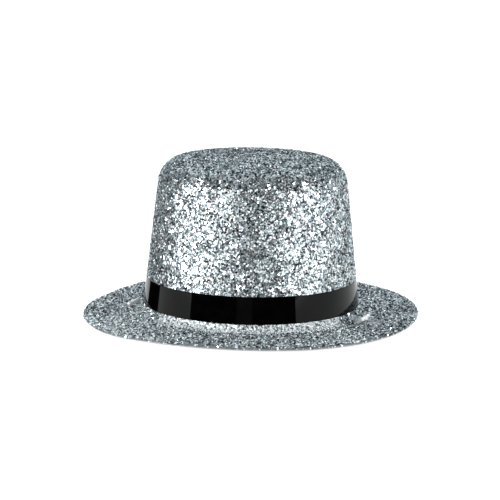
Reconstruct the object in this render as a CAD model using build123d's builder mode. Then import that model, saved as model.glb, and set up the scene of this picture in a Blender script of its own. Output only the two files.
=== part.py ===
from build123d import *
import math
import os

# Miniature glitter top hat. Millimetres, +Z up. The origin is at the middle of the brim, on the surface that
# the brim's edge stands on. The front of the hat faces -Y.

# Formed plastic sheet: crown and brim in one piece
sheet_thickness = 0.5
brim_radius = 63.1
brim_edge_height = 1.0
brim_root_height = 3.0
crown_base_radius = 40.5
crown_top_radius = 34.2
crown_height = 58.8
crown_dome = 2.5
crown_corner_radius = 9.4
brim_root_fillet = 2.2
brim_edge_fillet = 0.8

# Coat of glue and glitter on the sheet's outside
coat_thickness = 0.4
coat_hem_height = 0.45

# Black film band round the foot of the crown, its ends lapped and taped at the back
band_bottom = 5.7
band_width = 10.0
band_film = 0.3
tape_thickness = 0.1
tape_edge_margin = 1.2
lap_angle = 22.0
tape_angle = 17.0
lap_direction = 90.0

# Holes for the chin elastic: distance from the middle, and direction in degrees round from +X
hole_radius = 1.3
right_hole_distance = 46.1
right_hole_direction = -22.6
left_hole_distance = 45.0
left_hole_direction = 175.7

# White T-bar on each end of the elastic
barb_length = 9.4
barb_radius = 0.68
barb_direction = 70.0
barb_gap = 0.3
boss_radius = 1.05
boss_taper = 8.0
socket_clearance = 0.05

# Chin elastic, put away in a neat coil on the standing surface inside the crown
elastic_diameter = 1.0
elastic_height = 0.55
coil_turns_across = 4
coil_layers = 2
coil_middle_diameter = 11.5
coil_edge_fillet = 0.4
tie_thickness = 0.2
tie_width = 2.5
tie_direction = 90.0

crown_top = brim_root_height + crown_height
wall_slope = (crown_base_radius - crown_top_radius) / (crown_height - crown_dome)
wall_lean = math.atan(wall_slope)
brim_slope = (brim_root_height - brim_edge_height) / (brim_radius - crown_base_radius)
elastic_radius = elastic_diameter / 2


def around(distance, direction):
    """The place on the ground plan at this distance and direction from the middle."""
    angle = math.radians(direction)
    return distance * math.cos(angle), distance * math.sin(angle)


def radial_plane(direction):
    """The upright plane that holds the axis and points in this direction."""
    out = around(1, direction)
    return Plane(origin=(0, 0, 0), x_dir=(out[0], out[1], 0), z_dir=(out[1], -out[0], 0))


def wall_radius(height, standoff):
    """Radius at this height of a cone that stands off the formed crown's side."""
    drop = wall_slope * (height - brim_root_height)
    return crown_base_radius - drop + standoff / math.cos(wall_lean)


def brim_top(distance):
    """Height of the coat's top on the brim."""
    return brim_root_height + coat_thickness - brim_slope * (distance - crown_base_radius)


def hat_outline():
    """Draw the outside of the formed sheet, from the middle of the top to the lip's lower edge."""
    shoulder = (crown_top_radius, crown_top - crown_dome)
    root = (crown_base_radius, brim_root_height)
    edge = (brim_radius, brim_edge_height)
    dome_radius = (crown_top_radius**2 + crown_dome**2) / (2 * crown_dome)
    dome = RadiusArc((0, crown_top), shoulder, dome_radius)
    side_and_brim = Polyline(shoulder, root, edge, (brim_radius, 0))
    fillet(dome.vertices().sort_by(Axis.X)[-1], crown_corner_radius)
    for corner, radius in ((root, brim_root_fillet), (edge, brim_edge_fillet)):
        fillet(side_and_brim.vertices().sort_by_distance(corner)[0], radius)


def side_strip(standoff, thickness, bottom, width):
    """Draw the section of a strip that lies along the crown's side."""
    top = bottom + width
    Polygon(
        (wall_radius(bottom, standoff), bottom),
        (wall_radius(bottom, standoff + thickness), bottom),
        (wall_radius(top, standoff + thickness), top),
        (wall_radius(top, standoff), top),
        align=None,
    )


os.makedirs("parts", exist_ok=True)

right_hole = around(right_hole_distance, right_hole_direction)
left_hole = around(left_hole_distance, left_hole_direction)

# Formed sheet
with BuildPart() as hat_shell:
    with BuildSketch(Plane.XZ):
        with BuildLine():
            hat_outline()
            offset(amount=sheet_thickness, side=Side.RIGHT)
        make_face()
    revolve(axis=Axis.Z)
    with Locations(right_hole, left_hole):
        Hole(hole_radius)

# Glitter coat
with BuildPart() as glitter_coat:
    with BuildSketch(Plane.XZ):
        with BuildLine():
            hat_outline()
            offset(amount=coat_thickness, side=Side.LEFT)
        make_face()
    revolve(axis=Axis.Z)
    split(bisect_by=Plane.XY.offset(coat_hem_height), keep=Keep.TOP)
    with Locations(right_hole, left_hole):
        Hole(hole_radius)

# Band, with the outer end lapped over the inner one
lap_start = lap_direction - lap_angle / 2
with BuildPart() as hat_band:
    with BuildSketch(Plane.XZ):
        side_strip(coat_thickness, band_film, band_bottom, band_width)
    revolve(axis=Axis.Z)
    with BuildSketch(radial_plane(lap_start)):
        side_strip(coat_thickness + band_film, tape_thickness + band_film, band_bottom, band_width)
    revolve(axis=Axis.Z, revolution_arc=lap_angle)
    with BuildSketch(radial_plane(lap_start)):
        side_strip(coat_thickness + band_film, tape_thickness, band_bottom, band_width)
    revolve(axis=Axis.Z, revolution_arc=tape_angle, mode=Mode.SUBTRACT)

# Double-sided tape under the lap
with BuildPart() as band_tape:
    with BuildSketch(radial_plane(lap_start + 1)):
        side_strip(
            coat_thickness + band_film,
            tape_thickness,
            band_bottom + tape_edge_margin,
            band_width - 2 * tape_edge_margin,
        )
    revolve(axis=Axis.Z, revolution_arc=tape_angle - 2)


def barb_height(distance):
    """Height of a T-bar's middle line, lying just clear of the brim."""
    return brim_top(distance) + barb_gap + barb_radius


def socket_top(distance):
    """Height of the blind end of the socket that holds the elastic."""
    return barb_height(distance) + barb_radius / 4


# T-bars: a round bar with a boss at its middle, which has the elastic's end in its underside
barbs = {}
for label, place, distance in (
    ("right_barb", right_hole, right_hole_distance),
    ("left_barb", left_hole, left_hole_distance),
):
    middle = Vector(*place, barb_height(distance))
    bar_way = Vector(*around(1, barb_direction), 0)
    boss_bottom = Plane.XY.offset(middle.Z - barb_radius)
    with BuildPart() as barb:
        with BuildSketch(Plane(origin=middle, z_dir=bar_way)):
            Circle(barb_radius)
        extrude(amount=barb_length / 2, both=True)
        fillet(barb.edges().filter_by(GeomType.CIRCLE), barb_radius * 0.85)
        with BuildSketch(boss_bottom):
            with Locations(place):
                Circle(boss_radius)
        extrude(amount=2 * barb_radius, taper=boss_taper)
        with BuildSketch(boss_bottom):
            with Locations(place):
                Circle(elastic_radius + socket_clearance)
        extrude(amount=socket_top(distance) - boss_bottom.origin.Z, mode=Mode.SUBTRACT)
    barbs[label] = barb

# Coil of elastic: one ring with the outer shape of all its turns
coil_inner = (coil_middle_diameter - coil_turns_across * elastic_diameter) / 2
coil_outer = (coil_middle_diameter + coil_turns_across * elastic_diameter) / 2
coil_bottom = elastic_height - elastic_radius + tie_thickness
coil_height = coil_layers * elastic_diameter
with BuildPart() as elastic_coil:
    with BuildSketch(Plane.XY.offset(coil_bottom)):
        Circle(coil_outer)
        Circle(coil_inner, mode=Mode.SUBTRACT)
    extrude(amount=coil_height)
    fillet(elastic_coil.edges().filter_by(GeomType.CIRCLE), coil_edge_fillet)

# Tie: a band of paper once round the coil's turns
tie_angle = math.degrees(2 * tie_width / coil_middle_diameter)
with BuildPart() as elastic_tie:
    with BuildSketch(radial_plane(tie_direction - tie_angle / 2)):
        with Locations((coil_middle_diameter / 2, coil_bottom + coil_height / 2)):
            across = coil_outer - coil_inner
            Rectangle(across + 2 * tie_thickness, coil_height + 2 * tie_thickness)
            Rectangle(across, coil_height, mode=Mode.SUBTRACT)
    revolve(axis=Axis.Z, revolution_arc=tie_angle)

# Routes of the two free runs: up at the hole, under the brim, and in to the outer turn of the coil
outer_turn = coil_outer - elastic_radius
low_turn = coil_bottom + elastic_radius
high_turn = low_turn + elastic_diameter
right_route = [
    (*right_hole, socket_top(right_hole_distance) - socket_clearance),
    (*right_hole, 2.2),
    (41.1, -17.1, elastic_height),
    (38.2, -16.2, elastic_height),
    (33.1, -15.4, elastic_height),
    (25.3, -12.0, elastic_height),
    (13.8, -9.6, elastic_height),
    (7.0, -outer_turn - 0.3, elastic_height),
    (2.7, -outer_turn, low_turn),
]
left_route = [
    (*left_hole, socket_top(left_hole_distance) - socket_clearance),
    (*left_hole, 2.2),
    (-43.3, 3.3, elastic_height),
    (-40.4, 2.8, elastic_height),
    (-35.3, 2.8, elastic_height),
    (-27.5, 0.7, elastic_height),
    (-17.0, -4.4, elastic_height),
    (-8.8, -outer_turn + 0.2, elastic_height + 0.15),
    (-2.7, -outer_turn, high_turn),
]

elastic_runs = {}
for label, route in (("elastic_right", right_route), ("elastic_left", left_route)):
    points = [Vector(*point) for point in route]
    runs = [after - before for before, after in zip(points, points[1:])]
    radii = []
    for before, after in zip(runs, runs[1:]):
        half_turn = math.radians(before.get_angle(after)) / 2
        radii.append(0.45 * min(before.length, after.length) / math.tan(half_turn))
    with BuildPart() as elastic_run:
        with BuildLine() as path:
            FilletPolyline(*points, radius=radii)
        with BuildSketch(Plane(origin=points[0], z_dir=runs[0])):
            Circle(elastic_radius)
        sweep()
    elastic_runs[label] = elastic_run
    print(label, "length", round(sum(edge.length for edge in path.edges()), 1))

coil_turns = coil_turns_across * coil_layers
print("coil length", round(coil_turns * math.pi * coil_middle_diameter, 1))

pieces = {
    "hat_shell": hat_shell,
    "glitter_coat": glitter_coat,
    "hat_band": hat_band,
    "band_tape": band_tape,
    "elastic_coil": elastic_coil,
    "elastic_tie": elastic_tie,
    **barbs,
    **elastic_runs,
}
for label, piece in pieces.items():
    piece.part.label = label
    export_step(piece.part, f"parts/{label}.step")
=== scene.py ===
import math

import bmesh
import bpy
import numpy as np
from mathutils import Matrix, Vector


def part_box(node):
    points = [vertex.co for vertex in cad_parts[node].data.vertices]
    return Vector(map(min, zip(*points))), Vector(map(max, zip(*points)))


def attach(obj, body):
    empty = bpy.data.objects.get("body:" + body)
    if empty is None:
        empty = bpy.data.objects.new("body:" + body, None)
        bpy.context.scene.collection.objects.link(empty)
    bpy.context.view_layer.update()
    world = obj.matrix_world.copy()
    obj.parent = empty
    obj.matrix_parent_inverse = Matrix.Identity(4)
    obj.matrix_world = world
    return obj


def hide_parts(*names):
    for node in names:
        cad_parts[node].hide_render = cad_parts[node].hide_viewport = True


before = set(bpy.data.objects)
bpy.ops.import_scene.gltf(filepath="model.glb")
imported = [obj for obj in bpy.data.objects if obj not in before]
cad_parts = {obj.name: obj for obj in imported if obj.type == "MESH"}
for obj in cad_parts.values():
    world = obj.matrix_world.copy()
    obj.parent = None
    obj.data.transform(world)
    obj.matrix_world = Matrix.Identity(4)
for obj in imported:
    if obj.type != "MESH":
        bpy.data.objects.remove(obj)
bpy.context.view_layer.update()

# A miniature top hat of formed plastic sheet, coated in silver glitter, with a black film band round the
# crown's foot and a chin elastic. Sizes are in millimetres unless a name or a comment says otherwise. The
# frame is the CAD model's: +Z up, the front towards -Y, the origin at the middle of the brim, on the floor.

rng = np.random.default_rng(2026)
MM = 0.001


# -------------------------------------------------------------------------------- sizes
def box_mm(node):
    """The lowest and highest corners of a CAD node."""
    return [np.array(corner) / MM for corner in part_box(node)]


def hole_place(barb):
    """The hole that a T-bar hangs in: the middle of the bar, on the ground plan."""
    low, high = box_mm(barb)
    return (low[0] + high[0]) / 2, (low[1] + high[1]) / 2


coat_low, coat_high = box_mm("glitter_coat")
shell_high = box_mm("hat_shell")[1]
band_low, band_high = box_mm("hat_band")
BRIM_RADIUS = shell_high[0]
CROWN_APEX = shell_high[2]
SHEET = 0.5
COAT = coat_high[2] - CROWN_APEX
COAT_HEM = coat_low[2]
BRIM_EDGE_HEIGHT = 1.0
ROOT_RADIUS, ROOT_HEIGHT = 40.5, 3.0
SHOULDER_RADIUS, DOME = 34.2, 2.5
SHOULDER_ROUND, ROOT_ROUND, EDGE_ROUND = 9.4, 2.2, 0.8
BAND_BOTTOM, BAND_TOP = band_low[2], band_high[2]
BAND_FILM = 0.3
BAND_TAPE = 0.1
HOLE_RADIUS = 1.3
right_hole, left_hole = hole_place("right_barb"), hole_place("left_barb")
HOLES = (right_hole, left_hole)
ELASTIC_DIAMETER = 1.0

# Directions from +X, going round, of the band's outer end, the end of its taped stretch, and the place where
# its lap is down on the coat
LAP_START, LAP_TAPED, LAP_END = (math.radians(angle) for angle in (79, 96, 101))

# Height of the brim's lower edge above the floor: a mean, and waves round the hat (count, cosine, sine). The
# brim lifts from LIFT_START outward, and its lip begins at LIP_START.
EDGE_MEAN = 1.52
EDGE_WAVES = ((1, 1.17, 0.75), (2, -0.71, 0.14), (3, 0.535, 0.0))
LIFT_START = 48.0
LIP_START = 62.7

# Fineness of the meshes: columns round the hat, points on the dome out to a share of the shoulder's radius,
# pieces of each arc, and the longest run along the outline
SEGMENTS = 288
DOME_SHARE, DOME_POINTS = 0.72, 9
SHOULDER_PIECES, ROOT_PIECES, EDGE_PIECES = 16, 8, 6
LONGEST_RUN = 2.0
HOLE_SEGMENTS, PUNCH_DEPTH = 32, 8
WELD_METRES = 1e-7
SHARP_DEGREES, BAND_SHARP_DEGREES = 35, 30

WALL_SLOPE = (ROOT_RADIUS - SHOULDER_RADIUS) / (CROWN_APEX - DOME - ROOT_HEIGHT)
WALL_LEAN = math.atan(WALL_SLOPE)


# -------------------------------------------------------------------------------- mesh helpers
def unit(ways):
    """These directions, one in each row, at a length of one."""
    return ways / np.linalg.norm(ways, axis=1)[:, None]


def plan_distance(points, x=0.0, y=0.0):
    """How far these points are from a place on the ground plan."""
    return np.hypot(points[:, 0] - x, points[:, 1] - y)


def warped(points):
    """The points, with the brim lifted as its edge waves."""
    points = np.array(points, float)
    distance = plan_distance(points)
    angle = np.arctan2(points[:, 1], points[:, 0])
    edge = np.full(len(points), EDGE_MEAN)
    for count, along, across in EDGE_WAVES:
        edge += along * np.cos(count * angle) + across * np.sin(count * angle)
    out = np.clip((distance - LIFT_START) / (BRIM_RADIUS - LIFT_START), 0, 1)
    points[:, 2] += out**2 * np.maximum(edge, 0)
    return points


def add_object(name, data):
    """Put a mesh, curve, lamp or camera in the scene."""
    thing = bpy.data.objects.new(name, data)
    bpy.context.scene.collection.objects.link(thing)
    return thing


def add_piece(name, points, faces, materials):
    """Make a piece from points in millimetres, on the hat's body."""
    mesh = bpy.data.meshes.new(name)
    mesh.from_pydata((np.asarray(points) * MM).tolist(), [], faces)
    for material in materials:
        mesh.materials.append(material)
    piece = add_object(name, mesh)
    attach(piece, "hat")
    return piece


def shade_smooth(mesh, degrees):
    """Shade a mesh smooth, but for edges sharper than this."""
    mesh.shade_smooth()
    mesh.set_sharp_from_angle(angle=math.radians(degrees))


def face_outward(mesh, weld=False):
    """Turn every face of a closed mesh outward, after welding its doubled points if asked."""
    solid = bmesh.new()
    solid.from_mesh(mesh)
    if weld:
        bmesh.ops.remove_doubles(solid, verts=solid.verts, dist=WELD_METRES)
    bmesh.ops.recalc_face_normals(solid, faces=solid.faces)
    solid.to_mesh(mesh)
    solid.free()


def arc_at(before, corner, after, radius, pieces):
    """Points of the arc that rounds a corner of a line."""
    inward = (corner - before) / np.linalg.norm(corner - before)
    onward = (after - corner) / np.linalg.norm(after - corner)
    turn = math.atan2(inward[0] * onward[1] - inward[1] * onward[0], inward @ onward)
    start = corner - inward * radius * math.tan(abs(turn) / 2)
    side = math.copysign(radius, turn)
    centre = start + side * np.array([-inward[1], inward[0]])
    spoke = start - centre
    angles = np.linspace(0, turn, pieces + 1)
    along = np.outer(np.cos(angles), spoke)
    across = np.outer(np.sin(angles), [-spoke[1], spoke[0]])
    return centre + along + across


def hat_line():
    """The formed sheet's outside as (radius, height), from the middle of the top to the lip's lower edge."""
    dome_radii = np.linspace(0, SHOULDER_RADIUS * DOME_SHARE, DOME_POINTS)
    dome = np.stack([dome_radii, CROWN_APEX - DOME * (dome_radii / SHOULDER_RADIUS) ** 2], axis=1)
    shoulder = np.array([SHOULDER_RADIUS, CROWN_APEX - DOME])
    root = np.array([ROOT_RADIUS, ROOT_HEIGHT])
    edge = np.array([BRIM_RADIUS, BRIM_EDGE_HEIGHT])
    foot = np.array([BRIM_RADIUS, 0.0])
    return np.concatenate([
        dome,
        arc_at(dome[-1], shoulder, root, SHOULDER_ROUND, SHOULDER_PIECES),
        arc_at(shoulder, root, edge, ROOT_ROUND, ROOT_PIECES),
        arc_at(root, edge, foot, EDGE_ROUND, EDGE_PIECES),
        [foot],
    ])


def spaced(line):
    """The line again, with its long runs divided."""
    points = [line[0]]
    for before, after in zip(line, line[1:]):
        count = max(1, math.ceil(np.linalg.norm(after - before) / LONGEST_RUN))
        points += [before + (after - before) * part / count for part in range(1, count + 1)]
    return np.array(points)


def stood_off(line, distance):
    """The line moved outward, with its first point kept on the axis."""
    run = unit(np.gradient(line, axis=0))
    outward = np.stack([-run[:, 1], run[:, 0]], axis=1)
    moved = line + outward * distance
    moved[0] = [0, line[0][1] + distance]
    return moved


def lathe(name, outside, inside, material):
    """A layer of the hat, swept round the axis between the line of its outside and that of its inside."""
    outline = np.concatenate([outside, inside[::-1]])
    angles = np.arange(SEGMENTS) * 2 * math.pi / SEGMENTS
    rows = len(outline)
    radius, height = np.maximum(outline[:, 0], 0), outline[:, 1]
    points = np.stack([
        np.outer(np.cos(angles), radius),
        np.outer(np.sin(angles), radius),
        np.outer(np.ones(SEGMENTS), height),
    ], axis=2).reshape(-1, 3)
    faces = []
    for column in range(SEGMENTS):
        here, there = column * rows, (column + 1) % SEGMENTS * rows
        faces += [(here + k, here + k + 1, there + k + 1, there + k) for k in range(rows - 1)]
    piece = add_piece(name, warped(points), faces, [material])
    face_outward(piece.data, weld=True)
    return piece


def punch_holes(piece):
    """Cut the two holes for the elastic through a piece."""
    cutter = bmesh.new()
    for x, y in HOLES:
        place = Matrix.Translation((x * MM, y * MM, ROOT_HEIGHT * MM))
        bmesh.ops.create_cone(
            cutter, cap_ends=True, segments=HOLE_SEGMENTS, depth=PUNCH_DEPTH * MM, matrix=place,
            radius1=HOLE_RADIUS * MM, radius2=HOLE_RADIUS * MM,
        )
    cutter_mesh = bpy.data.meshes.new("hole_cutter")
    cutter.to_mesh(cutter_mesh)
    cutter.free()
    cutter_piece = add_object("hole_cutter", cutter_mesh)
    cut = piece.modifiers.new("holes", "BOOLEAN")
    cut.operation = "DIFFERENCE"
    cut.object = cutter_piece
    bpy.context.view_layer.update()
    solid = bpy.data.meshes.new_from_object(piece.evaluated_get(bpy.context.evaluated_depsgraph_get()))
    piece.modifiers.clear()
    piece.data = solid
    bpy.data.objects.remove(cutter_piece)
    shade_smooth(solid, SHARP_DEGREES)


# -------------------------------------------------------------------------------- material helpers
def new_material(name, **values):
    """A Principled material with these socket values, its node tree and its shader."""
    material = bpy.data.materials.new(name)
    material.use_nodes = True
    shader = material.node_tree.nodes["Principled BSDF"]
    for socket, value in values.items():
        shader.inputs[socket.replace("_", " ")].default_value = value
    return material, material.node_tree, shader


def add_node(tree, kind, **values):
    """A new node of a tree, with these properties."""
    node = tree.nodes.new(kind)
    for key, value in values.items():
        setattr(node, key, value)
    return node


def texture(tree, kind, scale, detail=2.0):
    """A procedural texture fixed to the hat, with its scale per millimetre."""
    coordinates = add_node(tree, "ShaderNodeTexCoord")
    pattern = add_node(tree, kind)
    pattern.inputs["Scale"].default_value = scale / MM
    if "Detail" in pattern.inputs:
        pattern.inputs["Detail"].default_value = detail
    tree.links.new(coordinates.outputs["Object"], pattern.inputs["Vector"])
    return pattern


def ramp(tree, source, stops):
    """Colours or greys read off a texture's output, from stops of a place and a colour or a grey."""
    node = add_node(tree, "ShaderNodeValToRGB")
    while len(node.color_ramp.elements) < len(stops):
        node.color_ramp.elements.new(0.5)
    for element, (place, colour) in zip(node.color_ramp.elements, stops):
        element.position = place
        element.color = (*colour, 1) if isinstance(colour, tuple) else (colour, colour, colour, 1)
    tree.links.new(source, node.inputs["Fac"])
    return node.outputs["Color"]


def map_range(tree, source, low, high, to_low=0, to_high=1):
    """A value carried from one range to another."""
    node = add_node(tree, "ShaderNodeMapRange")
    for socket, value in zip(("From Min", "From Max", "To Min", "To Max"), (low, high, to_low, to_high)):
        node.inputs[socket].default_value = value
    tree.links.new(source, node.inputs["Value"])
    return node.outputs["Result"]


def mixed(tree, factor, first, second):
    """One colour turning into another."""
    mix = add_node(tree, "ShaderNodeMix", data_type="RGBA")
    tree.links.new(factor, mix.inputs["Factor"])
    tree.links.new(first, mix.inputs[6])
    tree.links.new(second, mix.inputs[7])
    return mix.outputs[2]


def bump(tree, shader, height, distance):
    """Raise a surface by up to this distance, as a texture says."""
    node = add_node(tree, "ShaderNodeBump")
    node.inputs["Strength"].default_value = 1.0
    node.inputs["Distance"].default_value = distance * MM
    tree.links.new(height, node.inputs["Height"])
    tree.links.new(node.outputs["Normal"], shader.inputs["Normal"])


# -------------------------------------------------------------------------------- materials
# The kinds of flake: name, tint, how metallic, how rough. The two darkest are the silver darkened as painted
# shade.
FLAKE_KINDS = (
    ("flake_bright", (0.93, 0.97, 0.985), 1.0, 0.15),
    ("flake_silver", (0.70, 0.79, 0.82), 1.0, 0.20),
    ("flake_cool", (0.40, 0.52, 0.56), 1.0, 0.25),
    ("flake_painted_shade_grey", (0.16, 0.21, 0.24), 1.0, 0.30),
    ("flake_painted_shade_black", (0.03, 0.038, 0.042), 1.0, 0.30),
    ("flake_frosted", (0.90, 0.95, 0.97), 0.2, 0.50),
)


def flake_materials():
    """Silver flakes of different tint and polish; the darkest are painted shade."""
    return [
        new_material(name, Base_Color=(*tint, 1), Metallic=metal, Roughness=roughness)[0]
        for name, tint, metal, roughness in FLAKE_KINDS
    ]


def coat_material():
    """Glue bed full of small flakes, seen between the large ones, and thin grey spray on the brim's lip."""
    material, tree, shader = new_material("glitter_bed")
    cells = texture(tree, "ShaderNodeTexVoronoi", 1.5)
    bed = ramp(tree, cells.outputs["Color"], [
        (0.0, (0.010, 0.012, 0.014)),
        (0.55, (0.06, 0.07, 0.08)),
        (0.85, (0.28, 0.32, 0.34)),
        (1.0, (0.8, 0.84, 0.85)),
    ])
    spray = ramp(tree, cells.outputs["Color"], [(0.0, (0.045, 0.048, 0.05)), (1.0, (0.16, 0.165, 0.17))])
    coordinates = add_node(tree, "ShaderNodeTexCoord")
    flat = add_node(tree, "ShaderNodeVectorMath", operation="MULTIPLY")
    flat.inputs[1].default_value = (1, 1, 0)
    distance = add_node(tree, "ShaderNodeVectorMath", operation="LENGTH")
    tree.links.new(coordinates.outputs["Object"], flat.inputs[0])
    tree.links.new(flat.outputs[0], distance.inputs[0])
    lip = map_range(tree, distance.outputs["Value"], LIP_START * MM, BRIM_RADIUS * MM)
    tree.links.new(mixed(tree, lip, bed, spray), shader.inputs["Base Color"])
    tree.links.new(map_range(tree, lip, 0, 1, 0.85, 0.15), shader.inputs["Metallic"])
    tree.links.new(map_range(tree, lip, 0, 1, 0.34, 0.5), shader.inputs["Roughness"])
    bump(tree, shader, cells.outputs["Distance"], 0.12)
    return material


def sheet_material():
    """Pale formed plastic, faintly mottled where the sheet was drawn thin."""
    material, tree, shader = new_material("formed_plastic", Roughness=0.4, IOR=1.5)
    cloud = texture(tree, "ShaderNodeTexNoise", 0.07, detail=4)
    tint = ramp(tree, cloud.outputs["Fac"], [(0.3, (0.32, 0.335, 0.345)), (0.7, (0.42, 0.435, 0.445))])
    tree.links.new(tint, shader.inputs["Base Color"])
    grain = texture(tree, "ShaderNodeTexNoise", 2.5)
    bump(tree, shader, grain.outputs["Fac"], 0.02)
    return material


def film_material():
    """High-gloss black film with the faintest handling marks."""
    material, tree, shader = new_material("black_film", IOR=1.235)
    cloud = texture(tree, "ShaderNodeTexNoise", 0.25, detail=5)
    tint = ramp(tree, cloud.outputs["Fac"], [(0.35, 0.0004), (0.75, 0.0016)])
    tree.links.new(tint, shader.inputs["Base Color"])
    polish = ramp(tree, cloud.outputs["Fac"], [(0.3, 0.012), (0.8, 0.03)])
    tree.links.new(polish, shader.inputs["Roughness"])
    return material


def cut_film_material():
    """Pale line where scissors went through the film."""
    material, tree, shader = new_material("film_cut", Roughness=0.6)
    fibre = texture(tree, "ShaderNodeTexNoise", 3.0)
    tint = ramp(tree, fibre.outputs["Fac"], [(0.3, (0.22, 0.22, 0.23)), (0.7, (0.38, 0.38, 0.39))])
    tree.links.new(tint, shader.inputs["Base Color"])
    return material


def tape_material():
    """Double-sided tape, slightly yellow."""
    material, tree, shader = new_material("clear_tape", Roughness=0.5)
    cloud = texture(tree, "ShaderNodeTexNoise", 0.6)
    tint = ramp(tree, cloud.outputs["Fac"], [(0.3, (0.74, 0.74, 0.66)), (0.7, (0.85, 0.85, 0.78))])
    tree.links.new(tint, shader.inputs["Base Color"])
    return material


def barb_material():
    """White moulded plastic."""
    material, tree, shader = new_material("white_plastic", Roughness=0.32, IOR=1.5)
    cloud = texture(tree, "ShaderNodeTexNoise", 0.5, detail=3)
    tint = ramp(tree, cloud.outputs["Fac"], [(0.3, (0.92, 0.94, 0.95)), (0.7, (0.96, 0.97, 0.98))])
    tree.links.new(tint, shader.inputs["Base Color"])
    bump(tree, shader, cloud.outputs["Fac"], 0.02)
    return material


def elastic_material():
    """White braided sleeve: fine crossing threads, with painted shade greying the grooves between them."""
    material, tree, shader = new_material("white_elastic", Roughness=0.75, Sheen_Weight=0.3)
    braid = texture(tree, "ShaderNodeTexVoronoi", 3.2)
    # Greyer where the bump sinks the grooves: painted shade
    tint = ramp(tree, braid.outputs["Distance"], [(0.1, (0.90, 0.90, 0.88)), (0.7, (0.62, 0.62, 0.60))])
    tree.links.new(tint, shader.inputs["Base Color"])
    bump(tree, shader, braid.outputs["Distance"], -0.12)
    return material


def paper_material():
    """White paper with short fibres."""
    material, tree, shader = new_material("tie_paper", Roughness=0.85)
    fibre = texture(tree, "ShaderNodeTexNoise", 1.8, detail=6)
    tint = ramp(tree, fibre.outputs["Fac"], [(0.3, (0.80, 0.80, 0.77)), (0.7, (0.92, 0.92, 0.90))])
    tree.links.new(tint, shader.inputs["Base Color"])
    bump(tree, shader, fibre.outputs["Fac"], 0.03)
    return material


# -------------------------------------------------------------------------------- sheet and glue
sheet_line = spaced(hat_line())
coat_line = np.concatenate([sheet_line[sheet_line[:, 1] > COAT_HEM], [[BRIM_RADIUS, COAT_HEM]]])
coat_top_line = stood_off(coat_line, COAT)

shell = lathe("shell_sheet", sheet_line, stood_off(sheet_line, -SHEET), sheet_material())
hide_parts("hat_shell")
punch_holes(shell)

coat = lathe("glitter_bed", coat_top_line, coat_line, coat_material())
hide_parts("glitter_coat")
punch_holes(coat)


# -------------------------------------------------------------------------------- flakes
# Each flake is a hexagon. Its stray and its sizes are shares of the usual width. Its lift is above the glue,
# and its root is that deep in it.
FLAKE_ACROSS = 0.74
FLAKE_AREA = 3 * math.sqrt(3) / 8 * FLAKE_ACROSS**2
FLAKE_COVER = 1.15
FLAKE_STRAY = 0.35
FLAKE_SIZES = (0.75, 1.2)
FLAKE_LIFT = (0.02, 0.26)
CHIP_ROOT = 0.15

# The zones of the hat: how far the flakes lean there, as a tangent, and the share of each of the FLAKE_KINDS
CROWN, BRIM, FRONT, FOOT, HOLE = range(5)
ZONE_LEANS = (0.17, 0.52, 0.52, 0.45, 0.52)
ZONE_SHARES = (
    (0.37, 0.18, 0.11, 0.11, 0.22, 0.01),
    (0.29, 0.18, 0.10, 0.11, 0.22, 0.10),
    # The brim's front: more frosted and fewer dark flakes, painted light where the lamps fall on it
    (0.27, 0.19, 0.12, 0.08, 0.12, 0.22),
    # The crown's foot: mostly bright and frosted flakes, a painted highlight along the ring below the band
    (0.38, 0.00, 0.00, 0.00, 0.02, 0.60),
    # Round the holes: more dull and dark flakes, painted shade round the T-bars
    (0.20, 0.16, 0.18, 0.20, 0.25, 0.01),
)
TOP_HEIGHT, TOP_LEAN = 59.5, 0.26
LOOSE_SHARE, LOOSE_LEAN = 0.04, 3.0

# The brim's front faces a direction, and reaches as far round from it as the angle with this cosine. The
# bright ring at the crown's foot goes out to a radius, and as far round from -Y as the angle with its cosine.
# The brighter mix on the brim's front is painted light.
FRONT_FACING, FRONT_REACH = (-0.26, -0.966), 0.47
# The bright ring's flakes are a painted highlight.
FOOT_RADIUS, FOOT_REACH = 44.2, 0.6

# Round each hole the flakes lie nearly flat, so that the T-bars turn clear of them
# The darker mix of flakes round the holes is painted shade.
CALM_RADIUS, CALM, CALM_LEAN = 6.2, 0.15, 0.2
HOLE_CLEARANCE = 0.3

# No flakes lie under the band, and few on the downward part of the lip
CROWN_MARGIN, BAND_CLEARANCE = 0.5, 0.15
LIP_FACING, LIP_SHARE = 0.65, 0.3

# Handmade faults as (x, y, radius): a bare spot, and a clump where the flakes stand up
BARE_SPOTS = ((-50.9, 4.2, 1.2),)
CLUMPS = ((-49.0, -8.3, 2.4),)
CLUMP_LEAN = 0.65

# The glue is uneven: waves of these lengths lean whole patches of flakes together
UNEVEN_LEAN, UNEVEN_SPAN, UNEVEN_WAVES = 0.095, (3.5, 10.0), 40

# Multiples of this number and of its square spread points evenly over a square: one over the plastic number
SPREAD = 0.7548777

# The flakes are made in pieces, split by distance from the middle on the brim and by height on the crown
BRIM_SPLITS = (50.0, 57.0)
CROWN_SPLITS = (BAND_BOTTOM, 27.0, 40.0, 54.0)
FLAKE_PIECES = (
    "flakes_brim_root", "flakes_brim_middle", "flakes_brim_edge",
    "flakes_crown_foot", "flakes_crown_lower", "flakes_crown_upper", "flakes_crown_top",
)


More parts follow.
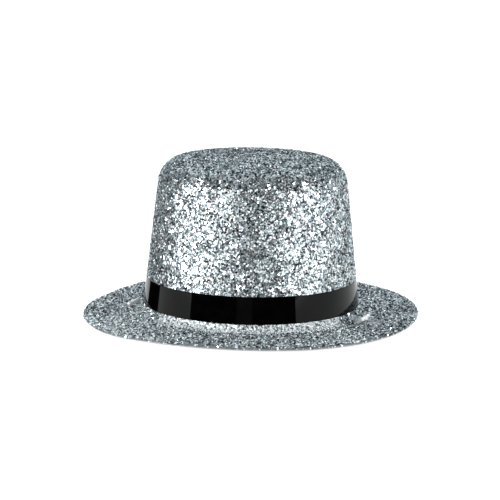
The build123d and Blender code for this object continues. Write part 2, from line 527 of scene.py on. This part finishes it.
def even_scatter(outline):
    """Places spread evenly over the surface that an outline sweeps, and the ways out and round from each."""
    steps = np.diff(outline, axis=0)
    lengths = np.linalg.norm(steps, axis=1)
    areas = 2 * math.pi * (outline[:-1, 0] + steps[:, 0] / 2) * lengths
    covered = np.concatenate([[0], np.cumsum(areas)])
    count = int(covered[-1] * FLAKE_COVER / FLAKE_AREA)
    order = np.arange(count)
    share = (0.5 + order * SPREAD) % 1
    angle = 2 * math.pi * ((order * SPREAD**2) % 1)
    stray = FLAKE_ACROSS * FLAKE_STRAY
    share = share + rng.normal(0, 1, count) * stray * math.sqrt(FLAKE_AREA) / covered[-1]
    along = np.interp(np.clip(share, 0, 1) * covered[-1], covered, np.arange(len(outline)))
    along += rng.normal(0, stray, count) / lengths[np.minimum(along.astype(int), len(lengths) - 1)]
    along = np.clip(along, 0, len(lengths) - 1e-6)
    which = along.astype(int)
    middle = outline[which] + steps[which] * (along - which)[:, None]
    angle += rng.normal(0, stray, count) / np.maximum(middle[:, 0], stray)
    facing = np.stack([-steps[which, 1], steps[which, 0]], axis=1) / lengths[which, None]
    out = np.stack([np.cos(angle), np.sin(angle), np.zeros(count)], axis=1)
    around = np.stack([-out[:, 1], out[:, 0], np.zeros(count)], axis=1)
    up = np.array([0, 0, 1.0])
    return out * middle[:, :1] + up * middle[:, 1:], out * facing[:, :1] + up * facing[:, 1:], around


def kept_places(places, normal):
    """Which places have a flake, and a factor on each one's lean and lift: CALM near a hole, otherwise 1."""
    height = places[:, 2]
    on_crown = plan_distance(places) < ROOT_RADIUS + CROWN_MARGIN
    beside_band = (height > BAND_BOTTOM - BAND_CLEARANCE) & (height < BAND_TOP + BAND_CLEARANCE)
    kept = ~(on_crown & beside_band)
    on_lip = (plan_distance(places) > LIP_START) & (normal[:, 2] < LIP_FACING)
    kept &= ~(on_lip & (rng.random(len(places)) > LIP_SHARE))
    for x, y, radius in BARE_SPOTS:
        kept &= plan_distance(places, x, y) > radius
    calm = np.ones(len(places))
    for x, y in HOLES:
        distance = plan_distance(places, x, y)
        kept &= distance > HOLE_RADIUS + HOLE_CLEARANCE
        calm[distance < CALM_RADIUS] = CALM
    return kept, calm


def zones(places, calm):
    """The zone that each place is in."""
    distance = plan_distance(places)
    zone = np.full(len(places), BRIM)
    zone[places[:, :2] @ np.array(FRONT_FACING) > FRONT_REACH * distance] = FRONT
    zone[(distance < FOOT_RADIUS) & (-places[:, 1] > FOOT_REACH * distance)] = FOOT
    zone[places[:, 2] > BAND_BOTTOM] = CROWN
    zone[calm < 1] = HOLE
    return zone


def uneven(places):
    """How the uneven glue leans the flakes: two leans that vary smoothly from place to place."""
    heading = unit(rng.normal(0, 1, (UNEVEN_WAVES, 3)))
    waves = heading * 2 * math.pi / rng.uniform(*UNEVEN_SPAN, UNEVEN_WAVES)[:, None]
    phase = rng.uniform(0, 2 * math.pi, (2, UNEVEN_WAVES))
    along = places @ waves.T
    sums = [np.sin(along + shift).sum(axis=1) for shift in phase]
    return np.stack(sums, axis=1) / math.sqrt(UNEVEN_WAVES / 2)


def leans(places, zone, calm):
    """Two leans for each flake: along the hat's outline, and round the hat."""
    spread = np.array(ZONE_LEANS)[zone]
    spread[places[:, 2] > TOP_HEIGHT] = TOP_LEAN
    for x, y, radius in CLUMPS:
        spread[plan_distance(places, x, y) < radius] = CLUMP_LEAN
    lean = rng.normal(0, 1, (len(places), 2)) * (spread * calm)[:, None]
    lean[rng.random(len(places)) < LOOSE_SHARE] *= LOOSE_LEAN
    lean += uneven(places) * UNEVEN_LEAN * calm[:, None]
    lean[calm < 1] = np.clip(lean[calm < 1], -CALM_LEAN, CALM_LEAN)
    return lean


def chip_corners(places, normal, around, lean, calm):
    """Corners of hexagonal chips, seven for each flake: its face's six and a point buried in the glue."""
    count = len(places)
    lift = rng.uniform(*FLAKE_LIFT, count)[:, None] * calm[:, None]
    along = np.cross(around, normal)
    face = unit(normal + along * lean[:, :1] + around * lean[:, 1:])
    side = unit(np.cross(face, around))
    across = np.cross(face, side)
    radius = FLAKE_ACROSS / 2 * rng.uniform(*FLAKE_SIZES, count)
    spin = rng.uniform(0, math.pi / 3, count)
    centre = places + normal * lift
    corners = np.empty((count, 7, 3))
    for corner in range(6):
        turn = (spin + corner * math.pi / 3)[:, None]
        corners[:, corner] = centre + (side * np.cos(turn) + across * np.sin(turn)) * radius[:, None]
    corners[:, 6] = centre - face * (lift + CHIP_ROOT)
    return corners


def flake_kinds(zone):
    """The kind of each flake, drawn in its zone's shares."""
    reach = np.cumsum(ZONE_SHARES, axis=1)[zone]
    return (rng.random(len(zone))[:, None] > reach[:, :-1]).sum(axis=1)


def add_chips(name, corners, kinds, materials):
    """One piece of the chips given."""
    chip = [(0, 1, 2, 3, 4, 5)] + [((k + 1) % 6, k, 6) for k in range(6)]
    faces = [tuple(7 * flake + corner for corner in face) for flake in range(len(corners)) for face in chip]
    piece = add_piece(name, warped(corners.reshape(-1, 3)), faces, materials)
    piece.data.polygons.foreach_set("material_index", np.repeat(kinds, len(chip)).astype(np.int32))


def add_flakes():
    """Scatter flakes over the glue, and make them in a few large pieces."""
    places, normal, around = even_scatter(coat_top_line)
    kept, calm = kept_places(places, normal)
    places, normal, around, calm = places[kept], normal[kept], around[kept], calm[kept]
    zone = zones(places, calm)
    lean = leans(places, zone, calm)
    corners = chip_corners(places, normal, around, lean, calm)
    kinds = flake_kinds(zone)
    piece_number = np.where(
        places[:, 2] < BAND_BOTTOM,
        np.digitize(plan_distance(places), BRIM_SPLITS),
        np.digitize(places[:, 2], CROWN_SPLITS) + len(BRIM_SPLITS),
    )
    materials = flake_materials()
    for number, name in enumerate(FLAKE_PIECES):
        chosen = piece_number == number
        add_chips(name, corners[chosen], kinds[chosen], materials)


add_flakes()


# -------------------------------------------------------------------------------- band
# The film has small chamfers and a faint ripple. Its outer end curls off, and its lap sits high and askew.
BAND_EDGE = 0.06
BAND_COLUMN = math.radians(1.25)
BAND_RIPPLE, RIPPLE_COUNTS = 0.02, (7, 2.3)
BAND_CURL, CURL_REACH = 0.45, math.radians(6)
LAP_SLIP, LAP_SKEW = 0.3, math.radians(0.7)


def band_section():
    """The film's section as depth through the film and height."""
    low, high = BAND_BOTTOM, BAND_TOP
    return [
        (0, low + BAND_EDGE),
        (BAND_EDGE, low),
        (BAND_FILM - BAND_EDGE, low),
        (BAND_FILM, low + BAND_EDGE),
        (BAND_FILM, (low + high) / 2),
        (BAND_FILM, high - BAND_EDGE),
        (BAND_FILM - BAND_EDGE, high),
        (BAND_EDGE, high),
        (0, high - BAND_EDGE),
    ]


def add_band():
    """The film as one strip: its outer end lies over the tape, then it runs once round to its inner end."""
    begin, end = LAP_START, LAP_TAPED + 2 * math.pi
    count = math.ceil((end - begin) / BAND_COLUMN)
    angles = np.linspace(begin, end, count + 1)
    lapped = 1 - np.clip((angles - LAP_TAPED) / (LAP_END - LAP_TAPED), 0, 1)
    curl = BAND_CURL * np.clip(1 - (angles - begin) / CURL_REACH, 0, 1) ** 2
    standoff = COAT + (BAND_FILM + BAND_TAPE) * lapped + curl
    first_count, second_count = RIPPLE_COUNTS
    ripple = BAND_RIPPLE * np.sin(first_count * angles) * np.sin(second_count * angles + 1) * (1 - lapped)
    section = band_section()
    points = []
    for angle, off, wave, lap in zip(angles, standoff, ripple, lapped):
        for depth, level in section:
            height = level + LAP_SLIP * lap
            skewed = angle + LAP_SKEW * lap * (level - BAND_BOTTOM) / (BAND_TOP - BAND_BOTTOM)
            swell = wave if depth > BAND_FILM / 2 else 0
            cone = ROOT_RADIUS - WALL_SLOPE * (height - ROOT_HEIGHT)
            radius = cone + (off + depth + swell) / math.cos(WALL_LEAN)
            points.append((radius * math.cos(skewed), radius * math.sin(skewed), height))
    size = len(section)
    cut_ends = [tuple(reversed(range(size))), tuple(count * size + k for k in range(size))]
    faces = list(cut_ends)
    for here in range(0, count * size, size):
        for k in range(size):
            after = (k + 1) % size
            faces.append((here + k, here + after, here + size + after, here + size + k))
    band = add_piece("band_film", points, faces, [film_material(), cut_film_material()])
    shade_smooth(band.data, BAND_SHARP_DEGREES)
    for face in range(len(cut_ends)):
        band.data.polygons[face].material_index = 1
    face_outward(band.data)
    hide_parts("hat_band")


add_band()


# -------------------------------------------------------------------------------- elastic
# The free runs lie along the floor. The coil's turns lie beside and on each other, and each one moves over to
# the next in its last part, from JOG_START on.
RUN_HEIGHT = 0.55
COIL_RADII = (7.25, 6.25, 5.25, 4.25)
COIL_HEIGHTS = (0.75, 1.75)
TURN_POINTS = 16
JOG_START = 0.8
right_top = box_mm("elastic_right")[1][2]
left_top = box_mm("elastic_left")[1][2]

RIGHT_ROUTE = [
    (*right_hole, right_top),
    (*right_hole, 2.2),
    (41.1, -17.1, RUN_HEIGHT),
    (38.2, -16.2, RUN_HEIGHT),
    (33.1, -15.4, RUN_HEIGHT),
    (25.3, -12.0, RUN_HEIGHT),
    (13.8, -9.6, RUN_HEIGHT),
    (7.0, -7.55, RUN_HEIGHT),
    (2.7, -7.25, 0.75),
]
LEFT_ROUTE = [
    (*left_hole, left_top),
    (*left_hole, 2.2),
    (-43.3, 3.3, RUN_HEIGHT),
    (-40.4, 2.8, RUN_HEIGHT),
    (-35.3, 2.8, RUN_HEIGHT),
    (-27.5, 0.7, RUN_HEIGHT),
    (-17.0, -4.4, RUN_HEIGHT),
    (-8.8, -7.05, 0.7),
    (-2.7, -7.25, 1.75),
]


def coil_route():
    """The coil's turns: in along the lower layer and out along the upper one, each jogging to the next."""
    low, high = COIL_HEIGHTS
    radii = COIL_RADII + COIL_RADII[::-1]
    heights = [low] * len(COIL_RADII) + [high] * len(COIL_RADII)
    # A spline of order 3 runs inside the points of a ring by this factor
    pull = (3 + math.cos(2 * math.pi / TURN_POINTS)) / 4
    route = []
    for turn, (radius, height) in enumerate(zip(radii, heights)):
        following = min(turn + 1, len(radii) - 1)
        for point in range(TURN_POINTS):
            part = point / TURN_POINTS
            jog = max(0, part - JOG_START) / (1 - JOG_START)
            jog = jog * jog * (3 - 2 * jog)
            angle = -math.pi / 2 - 2 * math.pi * part
            reach = (radius + (radii[following] - radius) * jog) / pull
            level = height + (heights[following] - height) * jog
            route.append((reach * math.cos(angle), reach * math.sin(angle), level))
    return route


def add_elastic():
    """One cord from the right bar's socket, round the coil, to the left bar's socket."""
    route = RIGHT_ROUTE + coil_route() + LEFT_ROUTE[::-1]
    curve = bpy.data.curves.new("chin_elastic", "CURVE")
    curve.dimensions = "3D"
    curve.bevel_depth = ELASTIC_DIAMETER / 2 * MM
    curve.bevel_resolution = 4
    curve.use_fill_caps = True
    curve.resolution_u = 6
    spline = curve.splines.new("NURBS")
    spline.points.add(len(route) - 1)
    for point, place in zip(spline.points, route):
        point.co = (*(value * MM for value in place), 1)
    spline.order_u = 3
    spline.use_endpoint_u = True
    curve.materials.append(elastic_material())
    elastic = add_object("chin_elastic", curve)
    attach(elastic, "hat")
    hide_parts("elastic_right", "elastic_coil", "elastic_left")


add_elastic()


# -------------------------------------------------------------------------------- CAD nodes
def finish_node(node, material):
    """Give a CAD node that stays in sight its material."""
    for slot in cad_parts[node].material_slots:
        slot.material = material


white = barb_material()
finish_node("right_barb", white)
finish_node("left_barb", white)
finish_node("band_tape", tape_material())
finish_node("elastic_tie", paper_material())


# -------------------------------------------------------------------------------- studio, in metres
FLOOR_HALF = 6.0
# The floor's glow towards the hat, and towards the camera
FLOOR_GLOW, FLOOR_GLOW_SEEN = 0.42, 0.75

AIM = Vector((-0.68, -0.56, 25.5)) * MM
CAMERA_DISTANCE = 754 * MM
CAMERA_ELEVATION = math.radians(10.85)
CAMERA_ROLL = math.radians(0.917)
LENS = 143.5
CLIP_START, CLIP_END = 0.05, 60

# Brightness of the surroundings: near the floor by azimuth from the front, then by height in front and
# behind. FRONT_TO_BACK and LOW_TO_HIGH say where along +Y and up the one gives way to the other.
LOW_SKY = (
    (-144, 0.4), (-143, 0.0), (-123, 0.0), (-122, 0.45), (-71, 0.45), (-70, 0.0), (48, 0.0), (49, 0.8),
    (115, 0.8), (125, 0.6),
)
FRONT_SKY = ((0.0, 0.20), (0.25, 0.20), (0.4, 0.08), (0.7, 0.15), (1.0, 0.5))
BACK_SKY = ((0.0, 1.0), (0.3, 1.0), (0.42, 0.3), (0.55, 0.3), (0.7, 1.0), (0.9, 0.9), (1.0, 0.5))
BACK_TINT = (0.93, 1.0, 1.04)
FRONT_TO_BACK = (-0.15, 0.25)
LOW_TO_HIGH = (0.03, 0.08)

# Upright cards: name, first and last azimuth from the front, glow, distance from the middle, top
FLAG_RADIUS, FLAG_TOP = 0.176, 0.018
FLAG_COLUMNS = 39
FLAGS = (
    ("flag_left", -59.4, -13, 0.0, FLAG_RADIUS, FLAG_TOP),
    ("flag_middle", -13, 1, 0.2, FLAG_RADIUS, FLAG_TOP),
    ("flag_right", 1, 42.6, 0.0, FLAG_RADIUS, FLAG_TOP),
    ("flag_back_left", -138, -88, 0.2, 0.30, 0.16),
)
# One more lies flat, just off the floor, out from the left end of the band
FLAT_FLAG = ((-0.060, 0.016), (-0.157, 0.149), (-0.206, 0.062), (-0.066, -0.007))
FLAT_FLAG_HEIGHT = 0.001

# Soft boxes: name, azimuth from the front, elevation, width, height, power in watts, seen in reflections
LIGHTS = (
    ("left_box", -60, 8.6, 0.46, 0.25, 12, True),
    ("right_box", 62, 8.8, 0.7, 0.25, 6, True),
    ("top_box", 20, 65, 0.8, 0.8, 7, False),
)
LIGHT_AIM = Vector((0, 0, 0.035))
LIGHT_DISTANCE = 1.2


def add_floor():
    """Plain white paper, wide enough to fill the view, and lit for the camera until it loses its shadows."""
    mesh = bpy.data.meshes.new("floor")
    half = FLOOR_HALF
    corners = [(-half, -half, 0), (half, -half, 0), (half, half, 0), (-half, half, 0)]
    mesh.from_pydata(corners, [], [(0, 1, 2, 3)])
    material, tree, shader = new_material("floor_paper", Roughness=0.9, Emission_Color=(1, 1, 1, 1))
    grain = texture(tree, "ShaderNodeTexNoise", 0.02)
    tint = ramp(tree, grain.outputs["Fac"], [(0.3, 0.80), (0.7, 0.82)])
    tree.links.new(tint, shader.inputs["Base Color"])
    rays = add_node(tree, "ShaderNodeLightPath")
    glow = map_range(tree, rays.outputs["Is Camera Ray"], 0, 1, FLOOR_GLOW, FLOOR_GLOW_SEEN)
    tree.links.new(glow, shader.inputs["Emission Strength"])
    mesh.materials.append(material)
    add_object("floor", mesh)


def add_card(name, corners, faces, glow):
    """A black or dimly glowing card that shows only in reflections."""
    mesh = bpy.data.meshes.new(name)
    mesh.from_pydata(corners, [], faces)
    material = new_material(
        name, Base_Color=(0, 0, 0, 1), Roughness=1.0, Specular_IOR_Level=0.0,
        Emission_Color=(1, 1, 1, 1), Emission_Strength=glow,
    )[0]
    mesh.materials.append(material)
    card = add_object(name, mesh)
    card.visible_camera = card.visible_diffuse = card.visible_shadow = card.visible_transmission = False


def add_flag(name, first, last, glow, radius, top):
    """A card that stands on the floor and curves round part of the hat."""
    angles = np.radians(np.linspace(first, last, FLAG_COLUMNS + 1))
    low = [(radius * math.sin(angle), -radius * math.cos(angle), 0) for angle in angles]
    high = [(x, y, top) for x, y, _ in low]
    up = len(low)
    add_card(name, low + high, [(k, k + 1, up + k + 1, up + k) for k in range(FLAG_COLUMNS)], glow)


def add_sky():
    """Studio surroundings: bright to both sides near the floor, dim in front, brighter behind and above."""
    world = bpy.data.worlds.new("studio")
    bpy.context.scene.world = world
    world.use_nodes = True
    tree = world.node_tree
    coordinates = add_node(tree, "ShaderNodeTexCoord")
    split = add_node(tree, "ShaderNodeSeparateXYZ")
    tree.links.new(coordinates.outputs["Generated"], split.inputs["Vector"])
    forward = add_node(tree, "ShaderNodeMath", operation="MULTIPLY")
    forward.inputs[1].default_value = -1
    tree.links.new(split.outputs["Y"], forward.inputs[0])
    turn = add_node(tree, "ShaderNodeMath", operation="ARCTAN2")
    tree.links.new(split.outputs["X"], turn.inputs[0])
    tree.links.new(forward.outputs[0], turn.inputs[1])
    azimuth = map_range(tree, turn.outputs[0], -math.pi, math.pi)
    low = ramp(tree, azimuth, [((degrees + 180) / 360, grey) for degrees, grey in LOW_SKY])
    front = ramp(tree, split.outputs["Z"], FRONT_SKY)
    tinted = [(place, tuple(grey * part for part in BACK_TINT)) for place, grey in BACK_SKY]
    behind = ramp(tree, split.outputs["Z"], tinted)
    high = mixed(tree, map_range(tree, split.outputs["Y"], *FRONT_TO_BACK), front, behind)
    whole = mixed(tree, map_range(tree, split.outputs["Z"], *LOW_TO_HIGH), low, high)
    tree.links.new(whole, tree.nodes["Background"].inputs["Color"])


def add_light(name, azimuth, elevation, width, height, power, in_reflections):
    """A soft box at this azimuth and elevation in degrees, aimed at the crown."""
    light = bpy.data.lights.new(name, "AREA")
    light.shape = "RECTANGLE"
    light.size, light.size_y = width, height
    light.energy = power
    lamp = add_object(name, light)
    turn, rise = math.radians(azimuth), math.radians(elevation)
    towards = Vector((math.sin(turn) * math.cos(rise), -math.cos(turn) * math.cos(rise), math.sin(rise)))
    lamp.location = LIGHT_AIM + towards * LIGHT_DISTANCE
    lamp.rotation_euler = (-towards).to_track_quat("-Z", "Y").to_euler()
    lamp.visible_glossy = in_reflections


def add_camera():
    """The camera, in front of the hat and a little above it."""
    camera = add_object("camera", bpy.data.cameras.new("camera"))
    camera.data.lens = LENS
    camera.data.clip_start, camera.data.clip_end = CLIP_START, CLIP_END
    back = Vector((0, -math.cos(CAMERA_ELEVATION), math.sin(CAMERA_ELEVATION)))
    turn = Matrix.Rotation(math.pi / 2 - CAMERA_ELEVATION, 4, "X") @ Matrix.Rotation(CAMERA_ROLL, 4, "Z")
    camera.matrix_world = Matrix.Translation(AIM + back * CAMERA_DISTANCE) @ turn
    bpy.context.scene.camera = camera


add_floor()
add_sky()
for flag in FLAGS:
    add_flag(*flag)
add_card("flag_side", [(x, y, FLAT_FLAG_HEIGHT) for x, y in FLAT_FLAG], [(0, 1, 2, 3)], glow=0.0)
for light in LIGHTS:
    add_light(*light)
add_camera()
bpy.context.scene.view_settings.view_transform = "Standard"
